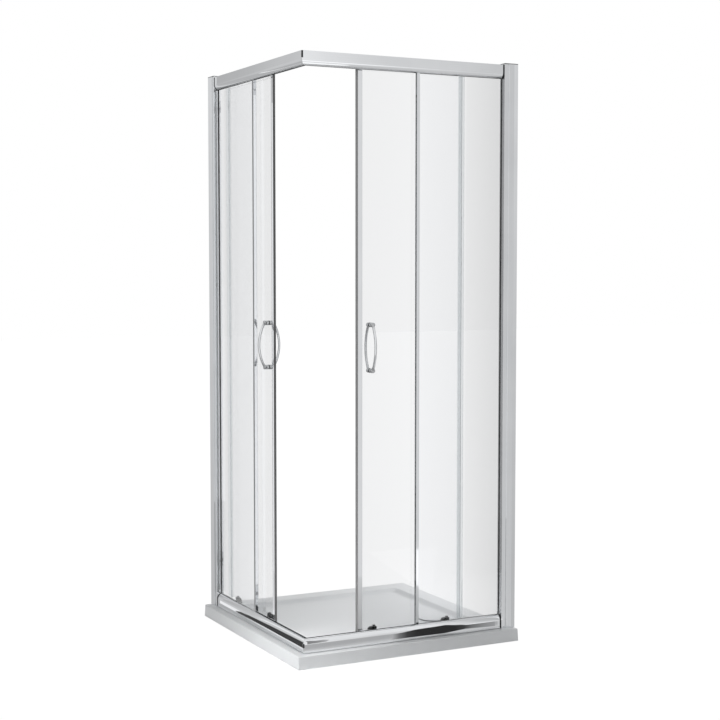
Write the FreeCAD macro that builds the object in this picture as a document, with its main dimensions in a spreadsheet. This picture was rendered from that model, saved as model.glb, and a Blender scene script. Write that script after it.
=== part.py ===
import FreeCAD, Part
import math
import os
from collections import namedtuple
from types import SimpleNamespace

import Sketcher

# Driving sizes in millimetres, one named cell of the sheet each
SIZES = {
    # shower tray
    "tray_size": 800,
    "tray_height": 40,
    "tray_draft": 2,
    "tray_corner_radius": 3,
    "tray_edge_radius": 2.5,
    "rim_width": 86,
    "back_rim_width": 66,
    "basin_depth": 12,
    "basin_slope_run": 20,
    "basin_corner_radius": 45,
    "basin_rim_radius": 12,
    "basin_floor_radius": 30,
    "channel_depth": 12,
    "channel_rib": 30,
    "channel_margin": 60,
    # waste in the tray
    "waste_from_wall": 154,
    "waste_from_front": 305,
    "waste_hole_radius": 45,
    "waste_recess_radius": 56,
    "waste_flange_gap": 0.4,
    "waste_flange_thickness": 3.2,
    "waste_throat_radius": 38,
    "waste_bevel": 1.2,
    "cover_radius": 52,
    "cover_thickness": 2.6,
    "cover_lift": 2,
    "cover_leg_radius": 2.5,
    "cover_leg_circle": 46,
    # rails
    "rail_inset": 30,
    "enclosure_height": 1850,
    "rail_drop": 5,
    "rail_height": 43,
    "rail_skin": 1.8,
    "rail_web": 2,
    "shoulder_width": 12,
    "shoulder_height": 18,
    "shoulder_flat": 0.5,
    "chamber_crown": 3,
    "foot_lip": 1.2,
    "foot_lip_height": 3,
    "foot_lip_radius": 0.8,
    "groove_width": 9,
    "groove_depth": 14,
    "rib_thickness": 1.6,
    "rib_height": 4.5,
    "ledge_lip": 0.5,
    "track_wall_height": 11,
    "sill_seal_height": 1.5,
    "sill_seal_inset": 2,
    "mitre_gap": 0.2,
    "cut_margin": 2,
    "corner_slot": 4.5,
    "top_slot_height": 22,
    "bottom_slot_drop": 13,
    "bottom_slot_height": 13,
    # corner brackets and rail end caps
    "plug_gap": 0.3,
    "bracket_arm": 45,
    "bracket_recess": 0.8,
    "end_cap_thickness": 4.6,
    "end_cap_inset": 0.4,
    "end_plug_length": 22,
    "fit_gap": 0.2,
    # wall profiles and jambs
    "cap_thickness": 2.5,
    "cap_radius": 1,
    "wall_profile_width": 35,
    "wall_profile_depth": 33,
    "wall_profile_proud": 4,
    "wall_profile_skin": 1.8,
    "wall_profile_web": 2,
    "wall_profile_radius": 1,
    "wall_hole_radius": 2.5,
    "wall_hole_end": 150,
    "wall_hole_inner": 650,
    "nest_gap": 0.3,
    "jamb_nose": 15,
    "jamb_nest": 22,
    "jamb_skin": 2,
    "jamb_groove_depth": 12,
    "screw_radius": 1.6,
    "screw_hole_radius": 1.9,
    "screw_head_radius": 3.5,
    "screw_head_height": 2.2,
    "jamb_screw_length": 12,
    "jamb_screw_end": 200,
    "rail_screw_length": 38,
    # glazing
    "glass_thickness": 5,
    "glass_seat": 1,
    "fixed_strip_width": 10,
    "fixed_strip_depth": 11,
    "fixed_strip_bite": 2,
    "gasket_gap": 0.2,
    "gasket_lip": 0.8,
    # sliding doors
    "right_door_from_open": 128,
    "left_door_from_open": 48,
    "door_overlap": 3.9,
    "handle_strip_gap": 26,
    "door_gap": 6.5,
    "edge_skin": 1.3,
    "edge_gap": 0.2,
    "magnet_length": 9,
    "edge_profile_width": 15,
    "edge_web": 3,
    "trail_seal_width": 17,
    "trail_seal_web": 5,
    "trail_fin_width": 4,
    "trail_fin_reach": 5.1,
    "glass_hole_radius": 4,
    "bolt_from_edge": 12,
    "bolt_radius": 2.4,
    "bolt_hole_radius": 2.5,
    "bolt_head_radius": 6,
    "bolt_head_height": 2.4,
    "bolt_length": 8,
    "stop_length": 12,
    "stop_gap": 0.5,
    "stop_height": 11,
    "stop_width": 12,
    "closed_gap": 0.4,
    "open_gap": 3,
    # wheels and their holders
    "front_wheel": 71,
    "rear_wheel_inset": 51,
    "wheel_radius": 8.5,
    "wheel_width": 6,
    "wheel_groove_width": 2.4,
    "wheel_groove_depth": 1.5,
    "wheel_gap": 1.5,
    "wheel_headroom": 2.5,
    "axle_radius": 2.5,
    "running_gap": 0.05,
    "side_gap": 0.3,
    "roll_gap": 0.3,
    "axle_head_radius": 3.5,
    "axle_head_width": 1,
    "collar_radius": 5,
    "collar_glass_gap": 1,
    "hanger_half_width": 13,
    "hanger_thickness": 3.2,
    "hanger_radius": 4,
    "hanger_margin": 8,
    "hanger_top_margin": 6,
    "hanger_room": 3.5,
    # sprung lower rollers
    "slider_room": 5.5,
    "slider_half_width": 6,
    "slider_gap": 1.2,
    "slider_head_height": 3.5,
    "slider_head_margin": 0.5,
    "cheek_gap": 0.9,
    "cheek_thickness": 2.6,
    "cheek_margin": 6,
    "release_travel": 4.5,
    "release_gap": 0.5,
    "rod_radius": 2.5,
    "knob_radius": 4.5,
    "knob_height": 4,
    "knob_gap": 0.3,
    "housing_depth": 12,
    "housing_height": 16.5,
    "housing_lead": 20,
    "housing_trail": 7,
    "housing_radius": 11,
    "housing_bolt_offset": 13,
    "housing_drop": 3.5,
    "spring_room": 12.5,
    "spring_bore_radius": 4.6,
    "spring_radius": 3.5,
    "spring_wire_radius": 0.5,
    "spring_end_gap": 0.6,
    # handles
    "handle_height": 940,
    "handle_from_edge": 55,
    "handle_span": 144,
    "handle_rise": 20,
    "handle_bar_radius": 4,
    "handle_foot_radius": 7.5,
    "handle_foot_length": 16,
    "handle_foot_cover": 4,
    "handle_foot_rounding": 2.5,
    "handle_hole_depth": 7,
    "stud_radius": 2.9,
    "stud_hole_radius": 3,
    "washer_thickness": 1,
}
CHANNELS = 5
SPRING_QUARTERS = 25
CLOSE = 1e-4

doc = FreeCAD.newDocument("corner_shower_enclosure")
sheet = doc.addObject("Spreadsheet::Sheet", "Sizes")
for row, (alias, number) in enumerate(SIZES.items(), start=1):
    sheet.set(f"A{row}", alias)
    sheet.set(f"B{row}", str(number))
    sheet.setAlias(f"B{row}", alias)
doc.recompute()


class Dim:
    """A size held both as a number and as the sheet expression that gives it."""

    def __init__(self, value, text):
        self.value = value
        self.text = text

    def __add__(self, other):
        return Dim(self.value + other.value, f"({self.text} + {other.text})")

    def __sub__(self, other):
        return Dim(self.value - other.value, f"({self.text} - {other.text})")

    def __neg__(self):
        return Dim(-self.value, f"(-{self.text})")

    def __mul__(self, other):
        other = as_dim(other)
        return Dim(self.value * other.value, f"({self.text} * {other.text})")

    def __truediv__(self, other):
        other = as_dim(other)
        return Dim(self.value / other.value, f"({self.text} / {other.text})")


def as_dim(number):
    return number if isinstance(number, Dim) else Dim(number, str(number))


def arc_sine(ratio):
    return Dim(math.degrees(math.asin(ratio.value)), f"asin({ratio.text})")


def arc_tangent(ratio):
    return Dim(math.degrees(math.atan(ratio.value)), f"atan({ratio.text})")


S = SimpleNamespace(**{alias: Dim(float(sheet.get(alias)), f"Sizes.{alias}") for alias in SIZES})
ZERO = Dim(0.0, "0")
Circle = namedtuple("Circle", "u v radius")
Turn = namedtuple("Turn", "u v level")

# A side is measured along from the rails' corner, inward from the rail face and up from the tray
half = S.tray_size / 2
corner = half - S.rail_inset
SIDE = (-corner, -corner, S.tray_height)

# Places along a side
wall = S.tray_size - S.rail_inset
profile_edge = wall - S.wall_profile_width
jamb_edge = profile_edge - S.jamb_nose
jamb_back = profile_edge + S.jamb_nest
jamb_groove_end = jamb_edge + S.jamb_groove_depth
jamb_web_end = profile_edge
rail_end = jamb_edge - S.end_cap_thickness - S.fit_gap * 2
fixed_glass_end = jamb_groove_end - S.glass_seat

# Places inward from the rail face
groove_near = S.shoulder_width + S.shoulder_flat
groove_far = groove_near + S.groove_width
track_near = groove_far + S.rail_web
chamber_near = S.rail_skin
chamber_far = groove_near - S.rail_skin
fixed_near = groove_near + (S.groove_width - S.glass_thickness) / 2
fixed_far = fixed_near + S.glass_thickness
fixed_mid = (fixed_near + fixed_far) / 2
door_near = track_near + S.door_gap
door_far = door_near + S.glass_thickness
door_mid = (door_near + door_far) / 2
edge_near = door_near - S.edge_skin - S.edge_gap
edge_far = door_far + S.edge_skin + S.edge_gap
wheel_near = door_far + S.wheel_gap
wheel_far = wheel_near + S.wheel_width
rib_mid = (wheel_near + wheel_far) / 2
rib_near = rib_mid - S.rib_thickness / 2
rib_far = rib_mid + S.rib_thickness / 2
top_wall_near = wheel_far + S.hanger_room
top_depth = top_wall_near + S.rail_web
bottom_wall_near = wheel_far + S.slider_room
bottom_depth = bottom_wall_near + S.rail_web
profile_near = -S.wall_profile_proud
profile_far = profile_near + S.wall_profile_depth
jamb_near = profile_near + S.wall_profile_skin + S.nest_gap
jamb_far = profile_far - S.wall_profile_skin - S.nest_gap
rod_at = door_far + S.housing_depth / 2
cheek_near = wheel_far + S.cheek_gap
cheek_far = cheek_near + S.cheek_thickness

# A closed door reaches from the corner to just past the strip on the fixed pane, and an open one
# from the wall end of the rails to a handle that stands clear of that strip
closed_lead = edge_near + S.closed_gap
open_end = rail_end - S.open_gap
handle_clear = S.handle_from_edge + S.handle_strip_gap
strip_lap = S.fixed_strip_width + S.door_overlap
fixed_strip_start = (open_end + closed_lead + handle_clear - strip_lap) / 2
fixed_glass_start = fixed_strip_start + S.fixed_strip_bite
fixed_strip_end = fixed_strip_start + S.fixed_strip_width
door_width = fixed_strip_end + S.door_overlap - closed_lead
open_lead = open_end - door_width
rear_wheel = door_width - S.rear_wheel_inset
DOOR = (-corner + open_lead - S.right_door_from_open, -corner, S.tray_height)
DOOR_SHIFT = S.right_door_from_open - S.left_door_from_open

# Heights above the tray
post_top = S.enclosure_height - S.cap_thickness
sill = S.sill_seal_height
bottom_lip = sill + S.rail_height
top_face = S.enclosure_height - S.rail_drop
top_lip = top_face - S.rail_height
roll_radius = S.wheel_radius - S.wheel_groove_depth
track_floor = sill + S.rail_web
bottom_rib = track_floor + S.rib_height
bottom_axle = bottom_rib + S.roll_gap + roll_radius
top_axle = top_face - S.rail_web - S.wheel_headroom - S.wheel_radius
top_rib = top_axle - roll_radius - S.roll_gap
ledge_top = top_rib - S.rib_height
ledge_low = ledge_top - S.rail_web
door_top = top_axle - S.collar_radius - S.collar_glass_gap
hanger_bolt = door_top - S.bolt_from_edge
slider_head_low = bottom_axle + S.wheel_radius + S.slider_gap
slider_head_top = slider_head_low + S.slider_head_height
housing_low = slider_head_top + S.release_travel + S.release_gap
housing_top = housing_low + S.housing_height
spring_top = housing_low + S.spring_room
door_low = housing_low - S.housing_drop
housing_bolt = door_low + S.bolt_from_edge
fixed_low = bottom_lip - S.groove_depth + S.glass_seat
fixed_top = top_lip + S.groove_depth - S.glass_seat

# Heights of the flat part of each rail's outer chamber, which the plugs fill
bottom_plug = (track_floor + S.plug_gap, bottom_lip - S.shoulder_height - S.plug_gap)
top_plug = (top_lip + S.shoulder_height + S.plug_gap, top_face - S.rail_web - S.plug_gap)

nodes = {}


# Drawing and solid helpers
def bind(item, prop, dim):
    item.setExpression(prop, dim.text)


def place(item, at):
    for axis, dim in zip("xyz", at):
        bind(item, f"Placement.Base.{axis}", dim)


def shifted(origin, along, inward, up):
    return (origin[0] + along, origin[1] + inward, origin[2] + up)


def new_body(name, at):
    body = doc.addObject("PartDesign::Body", name)
    place(body, at)
    return body


def new_sketch(body, plane, start):
    sketch = body.newObject("Sketcher::SketchObject", "outline")
    support = next(item for item in body.Origin.OriginFeatures if item.Role == plane)
    sketch.AttachmentSupport = [(support, "")]
    sketch.MapMode = "FlatFace"
    bind(sketch, "AttachmentOffset.Base.z", start)
    return sketch


def hold(sketch, kind, geometry, point, dim):
    index = sketch.addConstraint(Sketcher.Constraint(kind, -1, 1, geometry, point, dim.value))
    bind(sketch, f"Constraints[{index}]", dim)


def add_circle(sketch, circle):
    centre = FreeCAD.Vector(circle.u.value, circle.v.value, 0)
    axis = FreeCAD.Vector(0, 0, 1)
    geometry = sketch.addGeometry(Part.Circle(centre, axis, circle.radius.value))
    hold(sketch, "DistanceX", geometry, 3, circle.u)
    hold(sketch, "DistanceY", geometry, 3, circle.v)
    index = sketch.addConstraint(Sketcher.Constraint("Radius", geometry, circle.radius.value))
    bind(sketch, f"Constraints[{index}]", circle.radius)


def turn_between(start, end, level):
    """The arc from start to end, counterclockwise about a centre at the stated level."""
    middle = (start + end) / 2
    way = end - start
    centre = FreeCAD.Vector(middle.x - (level - middle.y) * way.y / way.x, level, 0)
    circle = Part.Circle(centre, FreeCAD.Vector(0, 0, 1), centre.distanceToPoint(start))
    return Part.ArcOfCircle(circle, circle.parameter(start), circle.parameter(end))


def add_outline(sketch, points):
    """Draws a closed outline; from a turn point an arc runs to the next point, else a line."""
    first = sketch.GeometryCount
    ends = [FreeCAD.Vector(point[0].value, point[1].value, 0) for point in points]
    follow = {i: (i + 1) % len(points) for i in range(len(points))}
    for i, j in follow.items():
        if isinstance(points[i], Turn):
            sketch.addGeometry(turn_between(ends[i], ends[j], points[i].level.value))
        else:
            sketch.addGeometry(Part.LineSegment(ends[i], ends[j]))
    for i, j in follow.items():
        sketch.addConstraint(Sketcher.Constraint("Coincident", first + i, 2, first + j, 1))
    for i, point in enumerate(points):
        hold(sketch, "DistanceX", first + i, 1, point[0])
        hold(sketch, "DistanceY", first + i, 1, point[1])
        if isinstance(point, Turn):
            hold(sketch, "DistanceY", first + i, 3, point.level)


def draw(body, plane, loops, start):
    sketch = new_sketch(body, plane, start)
    for loop in loops:
        if isinstance(loop, Circle):
            add_circle(sketch, loop)
        else:
            add_outline(sketch, loop)
    return sketch


def extrude(body, plane, loops, start, length, cut=False):
    """Pads or pockets from start by length, toward the positive axis across the plane."""
    toward = plane != "XZ_Plane"
    sketch = draw(body, plane, loops, start if toward else -start)
    feature = body.newObject("PartDesign::Pocket" if cut else "PartDesign::Pad", "extrusion")
    feature.Profile = sketch
    feature.Reversed = cut == toward
    bind(feature, "Length", length)
    return feature


def revolve(body, plane, loops, axis, angle=None):
    sketch = draw(body, plane, loops, ZERO)
    feature = body.newObject("PartDesign::Revolution", "turning")
    feature.Profile = sketch
    feature.ReferenceAxis = (sketch, [axis])
    feature.Angle = 360
    if angle:
        bind(feature, "Angle", angle)
        feature.Midplane = True
    return feature


def edge_at(**where):
    """A test for edges whose ends all lie at the stated coordinates."""

    def test(edge):
        for axis, dim in where.items():
            if any(abs(getattr(end, axis.upper()) - dim.value) > CLOSE for end in edge.Vertexes):
                return False
        return True

    return test


def round_edges(body, radius, *tests):
    doc.recompute()
    base = body.Tip
    edges = enumerate(base.Shape.Edges, start=1)
    names = [f"Edge{i}" for i, edge in edges if any(test(edge) for test in tests)]
    rounding = body.newObject("PartDesign::Fillet", "rounding")
    rounding.Base = (base, names)
    bind(rounding, "Radius", radius)


def rectangle(u0, v0, u1, v1):
    return [(u0, v0), (u1, v0), (u1, v1), (u0, v1)]


def box(name, low, high):
    item = doc.addObject("Part::Box", name)
    place(item, low)
    for prop, start, end in zip(("Length", "Width", "Height"), low, high):
        bind(item, prop, end - start)
    return item


def cylinder_in(name, at, radius, length):
    """A cylinder that runs inward from a point."""
    item = doc.addObject("Part::Cylinder", name)
    item.Placement = FreeCAD.Placement(FreeCAD.Vector(), FreeCAD.Rotation(FreeCAD.Vector(1, 0, 0), -90))
    place(item, at)
    bind(item, "Radius", radius)
    bind(item, "Height", length)
    return item


def cylinder_up(name, at, radius, length):
    item = doc.addObject("Part::Cylinder", name)
    place(item, at)
    bind(item, "Radius", radius)
    bind(item, "Height", length)
    return item


def cylinder_along(name, at, radius, length):
    """A cylinder that runs along the right side from a point."""
    item = doc.addObject("Part::Cylinder", name)
    item.Placement = FreeCAD.Placement(FreeCAD.Vector(), FreeCAD.Rotation(FreeCAD.Vector(0, 1, 0), 90))
    place(item, at)
    bind(item, "Radius", radius)
    bind(item, "Height", length)
    return item


def fuse(name, pieces):
    item = doc.addObject("Part::MultiFuse", name)
    item.Shapes = pieces
    return item


def cut_from(name, base, tool):
    item = doc.addObject("Part::Cut", name)
    item.Base = base
    item.Tool = tool
    return item


def mirrored(name, source, shift=ZERO):
    """The same piece on the left side, mirrored in the upright plane through the corner."""
    item = doc.addObject("Part::Mirroring", name)
    item.Source = source
    item.Normal = FreeCAD.Vector(1, -1, 0)
    bind(item, "Placement.Base.y", shift)
    return item


def keep(name, item):
    item.Label = name
    nodes[name] = item


def keep_pair(stem, item, shift=ZERO):
    keep(f"{stem}_right", item)
    keep(f"{stem}_left", mirrored(f"{stem}_left", item, shift))


def keep_group(name, items):
    group = doc.addObject("Part::Compound", name)
    group.Links = items
    keep(name, group)
    return group


def both_sides(items):
    return items + [mirrored(f"{item.Name}_image", item) for item in items]


# Tray and waste
def waste_place():
    return half - S.waste_from_wall, S.waste_from_front - half


def basin_floor():
    return S.tray_height - S.basin_depth


def shower_tray():
    body = new_body("shower_tray", (ZERO, ZERO, ZERO))
    slab = extrude(body, "XY_Plane", [rectangle(-half, -half, half, half)], ZERO, S.tray_height)
    bind(slab, "TaperAngle", -arc_tangent(S.tray_draft / S.tray_height))
    round_edges(body, S.tray_corner_radius, is_tray_corner)
    round_edges(body, S.tray_edge_radius, edge_at(z=S.tray_height))
    front = S.rim_width + S.basin_slope_run - half
    back = half - S.back_rim_width - S.basin_slope_run
    outline = rectangle(front, front, back, back)
    basin = extrude(body, "XY_Plane", [outline], basin_floor(), S.basin_depth, cut=True)
    bind(basin, "TaperAngle", arc_tangent(S.basin_slope_run / S.basin_depth))
    round_edges(body, S.basin_corner_radius, is_basin_corner)
    round_edges(body, S.basin_floor_radius, is_basin_floor)
    round_edges(body, S.basin_rim_radius, is_basin_rim)
    x, y = waste_place()
    hole = [Circle(x, y, S.waste_hole_radius)]
    extrude(body, "XY_Plane", hole, ZERO, S.tray_height, cut=True)
    recess = [Circle(x, y, S.waste_recess_radius)]
    recess_floor = basin_floor() - S.waste_flange_thickness
    extrude(body, "XY_Plane", recess, recess_floor, S.tray_height - recess_floor, cut=True)
    extrude(body, "XY_Plane", underside_channels(), ZERO, S.channel_depth, cut=True)
    keep("shower_tray", body)


def is_tray_corner(edge):
    """True for the four upright edges of the slab."""
    return abs(edge.Vertexes[0].Z - edge.Vertexes[-1].Z) > CLOSE


def is_basin_corner(edge):
    """True for the sloping edges in the four corners of the basin."""
    heights = sorted(v.Z for v in edge.Vertexes)
    from_floor = abs(heights[0] - basin_floor().value) < CLOSE
    return from_floor and abs(heights[-1] - S.tray_height.value) < CLOSE


def is_basin_floor(edge):
    """True for the edge where the basin's slope meets its floor."""
    return all(abs(v.Z - basin_floor().value) < CLOSE for v in edge.Vertexes)


def is_basin_rim(edge):
    """True for the edge where the basin meets the flat rim."""
    inside = half.value - S.back_rim_width.value + CLOSE
    level = all(abs(v.Z - S.tray_height.value) < CLOSE for v in edge.Vertexes)
    return level and all(max(abs(v.X), abs(v.Y)) < inside for v in edge.Vertexes)


def underside_channels():
    start = S.channel_margin - half
    end = waste_place()[0] - S.waste_recess_radius - S.channel_rib
    span = S.tray_size - S.channel_margin * 2
    width = (span - S.channel_rib * (CHANNELS - 1)) / CHANNELS
    steps = [start + (width + S.channel_rib) * i for i in range(CHANNELS)]
    return [rectangle(start, low, end, low + width) for low in steps]


def waste_flange():
    x, y = waste_place()
    outer = S.waste_recess_radius - S.waste_flange_gap
    inner = S.waste_throat_radius
    high = S.waste_flange_thickness
    shoulder = high - S.waste_bevel
    body = new_body("waste_flange", (x, y, basin_floor() - high))
    outline = [
        (inner, ZERO),
        (outer, ZERO),
        (outer, shoulder),
        (outer - S.waste_bevel, high),
        (inner + S.waste_bevel, high),
        (inner, shoulder),
    ]
    revolve(body, "XZ_Plane", [outline], "V_Axis")
    keep("waste_flange", body)


def waste_cover():
    x, y = waste_place()
    lid = new_body("waste_lid", (x, y, basin_floor() + S.cover_lift))
    high = S.cover_thickness
    outline = [
        (ZERO, ZERO),
        (S.cover_radius - S.waste_bevel, ZERO),
        (S.cover_radius, S.waste_bevel),
        (S.cover_radius - S.waste_bevel, high),
        (ZERO, high),
    ]
    revolve(lid, "XZ_Plane", [outline], "V_Axis")
    reach = S.cover_leg_circle
    feet = [(x - reach, y), (x + reach, y), (x, y - reach), (x, y + reach)]
    height = S.cover_lift + S.cover_thickness / 2
    legs = []
    for i, (u, v) in enumerate(feet):
        at = (u, v, basin_floor())
        legs.append(cylinder_up(f"cover_leg_{i}", at, S.cover_leg_radius, height))
    keep("waste_cover", fuse("waste_cover", [lid] + legs))


# Wall profiles, jambs and their caps
def wall_hole_heights():
    ends = [S.wall_hole_end, S.wall_hole_inner]
    return ends + [post_top - end for end in ends]


def jamb_screw_heights():
    return [S.jamb_screw_end, post_top / 2, post_top - S.jamb_screw_end]


def rail_screw_places():
    across = (chamber_near + chamber_far) / 2
    return [(across, (low + high) / 2) for low, high in (bottom_plug, top_plug)]


def jamb_screw_along():
    return (profile_edge + jamb_back) / 2


def wall_profile():
    body = new_body("wall_profile_right", SIDE)
    web = wall - S.wall_profile_web
    outline = [
        (profile_edge, profile_near),
        (wall, profile_near),
        (wall, profile_far),
        (profile_edge, profile_far),
        (profile_edge, profile_far - S.wall_profile_skin),
        (web, profile_far - S.wall_profile_skin),
        (web, profile_near + S.wall_profile_skin),
        (profile_edge, profile_near + S.wall_profile_skin),
    ]
    extrude(body, "XY_Plane", [outline], ZERO, post_top)
    round_edges(
        body,
        S.wall_profile_radius,
        edge_at(x=profile_edge, y=profile_near),
        edge_at(x=profile_edge, y=profile_far),
    )
    across = (profile_near + profile_far) / 2
    holes = [Circle(across, up, S.wall_hole_radius) for up in wall_hole_heights()]
    extrude(body, "YZ_Plane", holes, web - S.cut_margin, S.wall_profile_web + S.cut_margin * 2, cut=True)
    holes = [Circle(jamb_screw_along(), up, S.screw_hole_radius) for up in jamb_screw_heights()]
    skin = profile_far - S.wall_profile_skin
    extrude(body, "XZ_Plane", holes, skin, S.wall_profile_skin + S.cut_margin, cut=True)
    keep_pair("wall_profile", body)


def wall_jamb():
    body = new_body("wall_jamb_right", SIDE)
    near = jamb_near + S.jamb_skin
    far = jamb_far - S.jamb_skin
    outline = [
        (jamb_edge, jamb_near),
        (jamb_back, jamb_near),
        (jamb_back, near),
        (jamb_web_end, near),
        (jamb_web_end, far),
        (jamb_back, far),
        (jamb_back, jamb_far),
        (jamb_edge, jamb_far),
        (jamb_edge, groove_far),
        (jamb_groove_end, groove_far),
        (jamb_groove_end, groove_near),
        (jamb_edge, groove_near),
    ]
    start = jamb_edge + S.jamb_skin
    end = jamb_web_end - S.jamb_skin
    chamber = rectangle(start, near, end, groove_near - S.jamb_skin)
    extrude(body, "XY_Plane", [outline, chamber], ZERO, post_top)
    holes = [Circle(across, up, S.screw_hole_radius) for across, up in rail_screw_places()]
    extrude(body, "YZ_Plane", holes, jamb_edge - S.cut_margin, S.jamb_nose + S.cut_margin * 2, cut=True)
    holes = [Circle(jamb_screw_along(), up, S.screw_hole_radius) for up in jamb_screw_heights()]
    extrude(body, "XZ_Plane", holes, far - S.cut_margin, S.jamb_skin + S.cut_margin * 2, cut=True)
    keep_pair("wall_jamb", body)


def profile_caps():
    body = new_body("profile_cap", SIDE)
    outline = rectangle(jamb_edge, profile_near, wall, profile_far)
    extrude(body, "XY_Plane", [outline], post_top, S.cap_thickness)
    round_edges(body, S.cap_radius, edge_at(z=S.enclosure_height))
    keep_group("profile_caps", both_sides([body]))


# Rails, corner brackets, end caps and sill seals
def cut_mitre(body, depth, low, height):
    """Cuts the corner end of a rail back to the upright plane at 45 degrees."""
    start = -S.foot_lip - S.cut_margin
    end = depth + S.cut_margin
    gap = S.mitre_gap
    triangle = [(start + gap, start), (end + gap, end), (start + gap, end)]
    extrude(body, "XY_Plane", [triangle], low, height, cut=True)


def cut_corner_slot(body, low, height):
    """Cuts the opening at the corner in which the bracket shows."""
    start = -S.foot_lip - S.cut_margin
    outline = rectangle(start, start, S.corner_slot, S.corner_slot)
    extrude(body, "XY_Plane", [outline], low, height, cut=True)


def bottom_rail():
    body = new_body("bottom_rail_right", SIDE)
    wall_top = track_floor + S.track_wall_height
    groove_floor = bottom_lip - S.groove_depth
    foot = sill + S.foot_lip_height
    shoulder = bottom_lip - S.shoulder_height
    outline = [
        (-S.foot_lip, sill),
        (bottom_depth, sill),
        (bottom_depth, wall_top),
        (bottom_wall_near, wall_top),
        (bottom_wall_near, track_floor),
        (rib_far, track_floor),
        (rib_far, bottom_rib),
        (rib_near, bottom_rib),
        (rib_near, track_floor),
        (track_near, track_floor),
        (track_near, bottom_lip),
        (groove_far, bottom_lip),
        (groove_far, groove_floor),
        (groove_near, groove_floor),
        (groove_near, bottom_lip),
        Turn(S.shoulder_width, bottom_lip, shoulder),
        (ZERO, shoulder),
        (ZERO, foot),
        (-S.foot_lip, foot),
    ]
    outer_chamber = [
        (chamber_near, track_floor),
        (chamber_far, track_floor),
        (chamber_far, bottom_lip - S.chamber_crown),
        (chamber_near, shoulder),
    ]
    inner_chamber = rectangle(groove_near, track_floor, groove_far, groove_floor - S.rail_web)
    loops = [outline, outer_chamber, inner_chamber]
    extrude(body, "YZ_Plane", loops, -S.foot_lip, rail_end + S.foot_lip)
    round_edges(body, S.foot_lip_radius, edge_at(y=-S.foot_lip, z=foot))
    cut_mitre(body, bottom_depth, ZERO, bottom_lip + S.cut_margin)
    slot_top = bottom_lip - S.bottom_slot_drop
    cut_corner_slot(body, slot_top - S.bottom_slot_height, S.bottom_slot_height)
    keep_pair("bottom_rail", body)


def top_rail():
    body = new_body("top_rail_right", SIDE)
    roof = top_face - S.rail_web
    groove_roof = top_lip + S.groove_depth
    ledge_near = rib_near - S.ledge_lip
    shoulder = top_lip + S.shoulder_height
    outline = [
        (ZERO, top_face),
        Turn(ZERO, shoulder, shoulder),
        (S.shoulder_width, top_lip),
        (groove_near, top_lip),
        (groove_near, groove_roof),
        (groove_far, groove_roof),
        (groove_far, top_lip),
        (track_near, top_lip),
        (track_near, roof),
        (top_wall_near, roof),
        (top_wall_near, ledge_top),
        (rib_far, ledge_top),
        (rib_far, top_rib),
        (rib_near, top_rib),
        (rib_near, ledge_top),
        (ledge_near, ledge_top),
        (ledge_near, ledge_low),
        (top_depth, ledge_low),
        (top_depth, top_face),
    ]
    outer_chamber = [
        (chamber_near, roof),
        (chamber_near, shoulder),
        (chamber_far, top_lip + S.chamber_crown),
        (chamber_far, roof),
    ]
    inner_chamber = rectangle(groove_near, groove_roof + S.rail_web, groove_far, roof)
    extrude(body, "YZ_Plane", [outline, outer_chamber, inner_chamber], ZERO, rail_end)
    cut_mitre(body, top_depth, top_lip - S.cut_margin, S.rail_height + S.cut_margin * 2)
    cut_corner_slot(body, top_face - S.top_slot_height, S.top_slot_height + S.cut_margin)
    keep_pair("top_rail", body)


def corner_bracket(name, plug, nose):
    """An angle bracket in the two rail chambers, with a nose that shows at the corner."""
    near = chamber_near + S.plug_gap
    far = chamber_far - S.plug_gap
    arm = S.bracket_arm
    body = new_body(name, SIDE)
    angle = [(near, near), (arm, near), (arm, far), (far, far), (far, arm), (near, arm)]
    extrude(body, "XY_Plane", [angle], plug[0], plug[1] - plug[0])
    start = S.bracket_recess
    end = S.corner_slot - S.fit_gap
    tip = rectangle(start, start, end, end)
    extrude(body, "XY_Plane", [tip], nose[0], nose[1] - nose[0])
    return body


def corner_brackets():
    slot_top = bottom_lip - S.bottom_slot_drop
    slot_low = slot_top - S.bottom_slot_height
    nose = (slot_low + S.fit_gap, slot_top - S.fit_gap)
    lower = corner_bracket("bottom_corner_bracket", bottom_plug, nose)
    nose = (top_face - S.top_slot_height + S.fit_gap, top_face - S.fit_gap)
    upper = corner_bracket("top_corner_bracket", top_plug, nose)
    keep_group("corner_brackets", [lower, upper])


def end_cap(name, outline, plug, screw):
    """A plate that closes the wall end of a rail, with a plug that takes the rail screw."""
    near = chamber_near + S.plug_gap
    far = chamber_far - S.plug_gap
    start = rail_end + S.fit_gap
    body = new_body(name, SIDE)
    extrude(body, "YZ_Plane", [outline], start, S.end_cap_thickness)
    block = rectangle(near, plug[0], far, plug[1])
    extrude(body, "YZ_Plane", [block], start - S.end_plug_length, S.end_plug_length)
    hole = [Circle(screw[0], screw[1], S.screw_hole_radius)]
    length = S.end_plug_length + S.end_cap_thickness
    extrude(body, "YZ_Plane", hole, start - S.end_plug_length, length, cut=True)
    return body


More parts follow.
